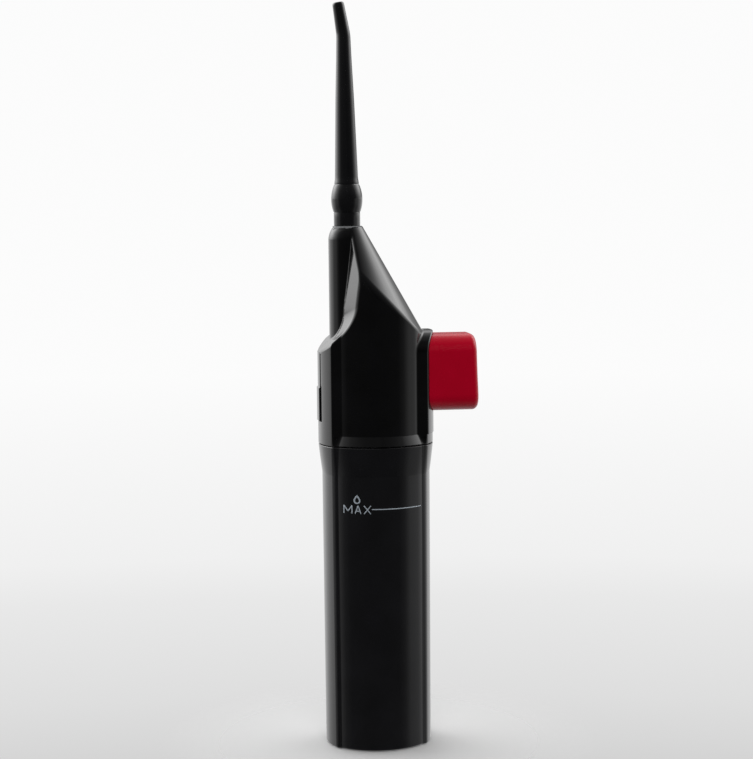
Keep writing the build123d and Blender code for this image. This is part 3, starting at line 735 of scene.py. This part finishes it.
def finish_surface(name, dark, light, rough, waves, grain, **sockets):
    """Surface with mottled colour and gloss, long soft waves and a fine grain."""
    material, principled = shader(name, **sockets)
    tinted(material, principled, noise_at(material, MOTTLE_SCALE), dark, light)
    gloss = map_range(material.node_tree, noise_at(material, GLOSS_SCALE, 6, (1, 1, 0.35)), 0.3, 0.7, *rough)
    material.node_tree.links.new(gloss, principled.inputs["Roughness"])
    bumped(material, principled, (noise_at(material, WAVE_SCALE, 2), waves),
           (noise_at(material, GRAIN_SCALE, 2), grain))
    return material


def finishes():
    """Every finish by the name of its material slot."""
    steel = {"Metallic": 1.0}
    return {
        "head_black": finish_surface("head_black", (0.0022,) * 3, (0.0036, 0.0036, 0.004),
                                     (0.05, 0.1), 4e-6, 2e-7, IOR=1.5),
        "tank_smoke": finish_surface("tank_smoke", (0.0055, 0.0055, 0.006), (0.0075, 0.0075, 0.0085),
                                     (0.06, 0.12), 4e-6, 2e-7, IOR=1.5),
        "button_red": finish_surface("button_red", (0.38, 0.0008, 0.014), (0.43, 0.001, 0.018),
                                     (0.2, 0.3), 3e-6, 6e-7, IOR=1.32),
        "nozzle_black": finish_surface("nozzle_black", (0.0045, 0.0045, 0.005), (0.0065, 0.0065, 0.007),
                                       (0.06, 0.12), 3e-6, 1e-6, IOR=1.5),
        "inner_white": finish_surface("inner_white", (0.66, 0.67, 0.66), (0.74, 0.75, 0.73),
                                      (0.38, 0.5), 4e-6, 2e-6),
        "inner_grey": finish_surface("inner_grey", (0.16, 0.165, 0.17), (0.2, 0.205, 0.21),
                                     (0.38, 0.52), 4e-6, 2e-6),
        "tube_clear": finish_surface("tube_clear", (0.8, 0.84, 0.86), (0.86, 0.9, 0.92),
                                     (0.08, 0.2), 5e-6, 4e-7, Transmission_Weight=0.85, IOR=1.45),
        "seal_rubber": finish_surface("seal_rubber", (0.02, 0.02, 0.021), (0.034, 0.034, 0.035),
                                      (0.6, 0.78), 4e-6, 4e-6),
        "spring_steel": finish_surface("spring_steel", (0.5, 0.5, 0.51), (0.62, 0.62, 0.63),
                                       (0.18, 0.34), 2e-6, 1e-6, **steel),
        "screw_steel": finish_surface("screw_steel", (0.44, 0.44, 0.46), (0.58, 0.58, 0.6),
                                      (0.24, 0.4), 2e-6, 1e-6, **steel),
        "ball_steel": finish_surface("ball_steel", (0.58, 0.58, 0.6), (0.7, 0.7, 0.72),
                                     (0.05, 0.12), 1e-6, 2e-7, **steel),
        "print_pale": finish_surface("print_pale", (0.26, 0.3, 0.34), (0.36, 0.4, 0.44),
                                     (0.5, 0.65), 1e-6, 2e-6),
    }


# ------------------------------------------------------------------ pieces


def make_tank(finish):
    """The tank, on a grid that is finest at its corners, foot and lip."""
    xs = spaced((-22.2, -13, 0.3), (-13, 13, 0.7), (13, 22.2, 0.3))
    ys = spaced((-19.4, -14, 0.5), (-14, -9, 0.25), (-9, 9, 0.6), (9, 14, 0.25), (14, 19.4, 0.5))
    zs = spaced((-0.3, 3, 0.25), (3, 104, 5), (104, TANK_TOP + 0.4, 0.3))
    solid("reservoir_shell", tank, (xs, ys, zs), finish, "tank", ("reservoir",))


def make_head(finish):
    """Both halves of the head's shell, on a grid that stops just past the parting plane."""
    xs = spaced((-22.2, -17, 0.3), (-17, -5, 0.4), (-5, 13, 0.55), (13, 22.2, 0.3))
    ys = spaced((-19.4, -14, 0.45), (-14, -9, 0.3), (-9, -0.4, 0.45), (-0.4, 0.2, 0.1))
    zs = spaced((HEAD_BOTTOM - 0.4, 121, 0.3), (121, 150, 0.5), (150, NECK_TOP - 3, 0.42),
                (NECK_TOP - 3, NECK_TOP + 0.4, 0.25))
    solid("head_front", head_front, (xs, ys, zs), finish, "head",
          ("head_front_shell", "head_back_shell"), mirrored=True)


def make_button(finish):
    """The push button."""
    xs = spaced((BUTTON_START - 0.5, 33, 0.7), (33, 39.2, 0.3))
    ys = spaced((-11.2, 11.2, 0.35))
    zs = spaced((127.2, 157.2, 0.35))
    solid("push_button", button, (xs, ys, zs), finish, "button", ("button_cap",))


def make_collar(finish):
    """The collar: a foot inside the neck, a stem, and a bulging grip with the tip's socket."""
    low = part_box("nozzle_collar")[0].z / MM
    socket, socket_end = COLLAR_SOCKET
    top, end = COLLAR_TOP
    bulge = arc_through((COLLAR_STEM + 0.1, COLLAR_SHOULDER + 0.15), COLLAR_BULGE, COLLAR_TOP)
    line = rounded_line([
        (COLLAR_BORE, low, 0), (COLLAR_FOOT, low, 0.2), (COLLAR_JOURNAL, NECK_TOP + 0.04, 0.1),
        (COLLAR_STEM, NECK_TOP + 0.06, 0.1), (COLLAR_STEM, COLLAR_SHOULDER - 0.1, 0.1),
        (COLLAR_STEM - 0.15, COLLAR_SHOULDER, 0.05), *[(*p, 0) for p in bulge],
        (top - 0.3, end, 0.1), (socket, end, 0.1), (socket, socket_end, 0.1), (COLLAR_BORE, socket_end, 0)])
    turned("nozzle_grip", line, finish, "collar", ("nozzle_collar",))


def arc_through(start, middle, end, steps=28):
    """Points on the circle through three (u, v) points, from the first to the last."""
    centre, radius = circle_through(start, middle, end)
    angles = [math.atan2(p[1] - centre[1], p[0] - centre[0]) for p in (start, end)]
    return [tuple(centre + radius * np.array([math.cos(t), math.sin(t)]))
            for t in np.linspace(*angles, steps)]


def tip_centre(level):
    """Place and lean of the jet tip's middle line at a length along it."""
    share = np.clip((np.linspace(TIP_BEND[0], max(level, TIP_BEND[0]), 40) - TIP_BEND[0])
                    / (TIP_BEND[1] - TIP_BEND[0]), 0, 1)
    leans = TIP_LEAN * smooth_step(share)
    step = max(level - TIP_BEND[0], 0) / 39
    x = NECK_X - step * np.sin(leans[1:]).sum() - TIP_DRIFT * max(level - COLLAR_TOP[1], 0)
    z = min(level, TIP_BEND[0]) + step * np.cos(leans[1:]).sum()
    return (x, 0, z), leans[-1]


def make_tip(finish):
    """The jet tip: a plug, a long cone, and a fine jet hole in its bent end."""
    levels, radii = zip(*TIP_CONE)
    outside = [(np.interp(v, levels, radii), v, 0) for v in np.linspace(*TIP_CONE_RUN, 90)]
    end = levels[-1]
    plug, plug_end = TIP_PLUG
    line = rounded_line([
        (TIP_BORE, plug_end, 0), (plug, plug_end, 0.15), (plug, TIP_SEAT, 0), (4.6, TIP_SEAT, 0.1), *outside,
        (radii[-1] - 0.05, end, 0.9), (JET_RADIUS + 0.5, end, 0.15), (JET_RADIUS, end - 0.6, 0.1),
        (JET_RADIUS, TIP_BORE_END + 1, 0), (TIP_BORE, TIP_BORE_END, 0)])
    turned("jet_nozzle", line, finish, "tip", ("jet_tip",), centre=tip_centre)


def make_springs(finish):
    """The four coil springs."""
    for name, (shape, joint, kept) in SPRINGS.items():
        coil(name, shape, finish)


def make_mark(finish):
    """Generic fill mark: the level's name in plain strokes, a line at the level, and a droplet."""
    points, faces = [], []
    low, high = LETTER_Z
    m_left, m_right = M_X
    m_middle = sum(M_X) / 2
    a_left, a_right = A_X
    a_middle = sum(A_X) / 2
    x_left, x_right = X_X
    for start, end in (
            ((m_left, low), (m_left, high)), ((m_left, high), (m_middle, low + 0.9)),
            ((m_middle, low + 0.9), (m_right, high)), ((m_right, high), (m_right, low)),
            ((a_left, low), (a_middle, high)), ((a_middle, high), (a_right, low)),
            ((a_left + 0.4, low + 1), (a_right - 0.4, low + 1)),
            ((x_left, low), (x_right, high)), ((x_left, high), (x_right, low))):
        stroke(np.linspace(start, end, 8), MARK_STROKE, points, faces)
    line = np.linspace((LINE_X[0], MARK_LEVEL), (LINE_X[1], MARK_LEVEL), 40)
    stroke(line, MARK_STROKE, points, faces)
    turn = np.linspace(0, 2 * math.pi, 48, endpoint=False)
    across = np.sin(turn) * np.sin(turn / 2) ** 1.1
    drop = np.stack([DROPLET[0] + DROPLET_HALF[0] * across, DROPLET[1] + DROPLET_HALF[1] * np.cos(turn)],
                    axis=1)
    stroke(drop, 1.5 * MARK_STROKE, points, faces, closed=True)
    new_piece("fill_mark", points, faces, finish, "tank")


def finish_cad_nodes(finish):
    """Give every CAD node the finish of its material slot."""
    for part in frame["record"]["subparts"]:
        node = frame["nodes"][part["node"]]
        node.data.materials.clear()
        node.data.materials.append(finish[part["material_slot"]])


# ------------------------------------------------------------------ studio


def make_floor():
    """Plain pale floor under the object, fading into the studio's pale sweep."""
    material, principled = shader("floor", Roughness=0.7, IOR=1.3)
    principled.inputs["Base Color"].default_value = (FLOOR_GREY, FLOOR_GREY, FLOOR_GREY, 1)
    tree = material.node_tree
    length = tree.nodes.new("ShaderNodeVectorMath")
    length.operation = "LENGTH"
    tree.links.new(tree.nodes.new("ShaderNodeTexCoord").outputs["Object"], length.inputs[0])
    mix = tree.nodes.new("ShaderNodeMixShader")
    tree.links.new(map_range(tree, length.outputs["Value"], *FLOOR_FADE), mix.inputs["Fac"])
    tree.links.new(principled.outputs["BSDF"], mix.inputs[1])
    tree.links.new(tree.nodes.new("ShaderNodeBsdfTransparent").outputs["BSDF"], mix.inputs[2])
    tree.links.new(mix.outputs["Shader"], tree.nodes["Material Output"].inputs["Surface"])
    mesh = bpy.data.meshes.new("floor")
    turn = np.linspace(0, 2 * math.pi, 128, endpoint=False)
    mesh.from_pydata([(FLOOR_RADIUS * math.cos(t), FLOOR_RADIUS * math.sin(t), -0.0001) for t in turn],
                     [], [tuple(range(128))])
    mesh.materials.append(material)
    floor = bpy.data.objects.new("floor", mesh)
    bpy.context.scene.collection.objects.link(floor)
    floor.visible_glossy = False


def grey_ramp(tree, source, stops):
    """A value turned into greys through (place, grey) stops."""
    ramp = tree.nodes.new("ShaderNodeValToRGB")
    while len(ramp.color_ramp.elements) < len(stops):
        ramp.color_ramp.elements.new(0.5)
    for element, (position, grey) in zip(ramp.color_ramp.elements, stops):
        element.position = position
        element.color = (grey, grey, grey, 1)
    tree.links.new(source, ramp.inputs["Fac"])
    return ramp.outputs["Color"]


def vector_step(tree, operation, sources, scale=None):
    """Colours combined by one vector operation."""
    node = tree.nodes.new("ShaderNodeVectorMath")
    node.operation = operation
    for number, source in enumerate(sources):
        tree.links.new(source, node.inputs[number])
    if scale is not None:
        tree.links.new(scale, node.inputs["Scale"])
    return node.outputs["Vector"]


def towards_camera(tree, direction):
    """0 for a direction straight behind the object, and 1 for one to the camera's side."""
    dot = tree.nodes.new("ShaderNodeVectorMath")
    dot.operation = "DOT_PRODUCT"
    dot.inputs[1].default_value = (math.sin(CAMERA_AZIMUTH), -math.cos(CAMERA_AZIMUTH), 0)
    tree.links.new(direction, dot.inputs[0])
    return map_range(tree, dot.outputs["Value"], -1, 1)


def gap_share(tree, split):
    """How much of the backdrop is left: all of it, but for a dark gap above the level on the right."""
    gap = grey_ramp(tree, map_range(tree, split.outputs["Z"], *GAP_HEIGHTS), GAP)
    left = map_range(tree, split.outputs["X"], *GAP_SIDE, 1, 0)
    share = tree.nodes.new("ShaderNodeMath")
    share.operation = "ADD"
    share.use_clamp = True
    tree.links.new(gap, share.inputs[0])
    tree.links.new(left, share.inputs[1])
    return share.outputs["Value"]


def make_world():
    """Studio: a pale sweep in view, and around it a bright backdrop and raised softboxes.

    The sweep is what the camera sees directly. The rest lights the object and shows in its gloss.
    """
    world = bpy.data.worlds.new("studio")
    bpy.context.scene.world = world
    world.use_nodes = True
    tree = world.node_tree
    tree.nodes.clear()
    direction = tree.nodes.new("ShaderNodeTexCoord").outputs["Generated"]
    split = tree.nodes.new("ShaderNodeSeparateXYZ")
    tree.links.new(direction, split.inputs["Vector"])
    side = towards_camera(tree, direction)
    sweep = grey_ramp(tree, map_range(tree, split.outputs["Z"], *SWEEP_HEIGHTS), SWEEP)
    backdrop = vector_step(tree, "MULTIPLY", (grey_ramp(tree, side, BACKDROP), sweep))
    backdrop = vector_step(tree, "SCALE", (backdrop,), gap_share(tree, split))
    level = tree.nodes.new("ShaderNodeValue")
    level.outputs[0].default_value = SOFTBOX_LEVEL
    raised = vector_step(tree, "SCALE", (grey_ramp(tree, split.outputs["Z"], SOFTBOX_HEIGHTS),),
                         level.outputs[0])
    studio = vector_step(tree, "MULTIPLY_ADD", (grey_ramp(tree, side, SOFTBOXES), raised, backdrop))
    light = tree.nodes.new("ShaderNodeBackground")
    light.inputs["Strength"].default_value = STUDIO_STRENGTH
    tree.links.new(studio, light.inputs["Color"])
    seen = tree.nodes.new("ShaderNodeBackground")
    tree.links.new(sweep, seen.inputs["Color"])
    mix = tree.nodes.new("ShaderNodeMixShader")
    tree.links.new(tree.nodes.new("ShaderNodeLightPath").outputs["Is Camera Ray"], mix.inputs["Fac"])
    tree.links.new(light.outputs["Background"], mix.inputs[1])
    tree.links.new(seen.outputs["Background"], mix.inputs[2])
    out = tree.nodes.new("ShaderNodeOutputWorld")
    tree.links.new(mix.outputs["Shader"], out.inputs["Surface"])


def soft_light(name, place, size, watts):
    """Large soft light aimed at the object, which doesn't show as a reflection."""
    data = bpy.data.lights.new(name, "AREA")
    data.size = size
    data.energy = watts
    light = bpy.data.objects.new(name, data)
    light.location = place
    light.rotation_euler = (Vector(LIGHT_TARGET) - Vector(place)).to_track_quat("-Z", "Y").to_euler()
    light.visible_glossy = False
    bpy.context.scene.collection.objects.link(light)


def make_camera():
    """The scene's camera, aimed slightly down at the object and rolled a little."""
    camera = bpy.data.objects.new("camera", bpy.data.cameras.new("camera"))
    camera.data.sensor_width = SENSOR
    camera.data.lens = CAMERA_LENS
    camera.data.clip_start, camera.data.clip_end = 0.01, 20
    a, e = CAMERA_AZIMUTH, CAMERA_PITCH
    camera.location = (math.sin(a) * CAMERA_DISTANCE, -math.cos(a) * CAMERA_DISTANCE, CAMERA_HEIGHT)
    pan = a - CAMERA_PAN
    ahead = Vector((-math.sin(pan) * math.cos(e), math.cos(pan) * math.cos(e), -math.sin(e)))
    turn = Matrix.Rotation(CAMERA_ROLL, 3, ahead) @ ahead.to_track_quat("-Z", "Y").to_matrix()
    camera.rotation_euler = turn.to_euler()
    bpy.context.scene.collection.objects.link(camera)
    bpy.context.scene.camera = camera


finish = finishes()
finish_cad_nodes(finish)
make_tank(finish["tank_smoke"])
make_head(finish["head_black"])
make_button(finish["button_red"])
make_collar(finish["nozzle_black"])
make_tip(finish["nozzle_black"])
make_springs(finish["spring_steel"])
make_mark(finish["print_pale"])
make_floor()
make_world()
soft_light("front", FRONT_LIGHT, FRONT_LIGHT_SIZE, FRONT_LIGHT_WATTS)
make_camera()
bpy.context.scene.view_settings.view_transform = "Standard"
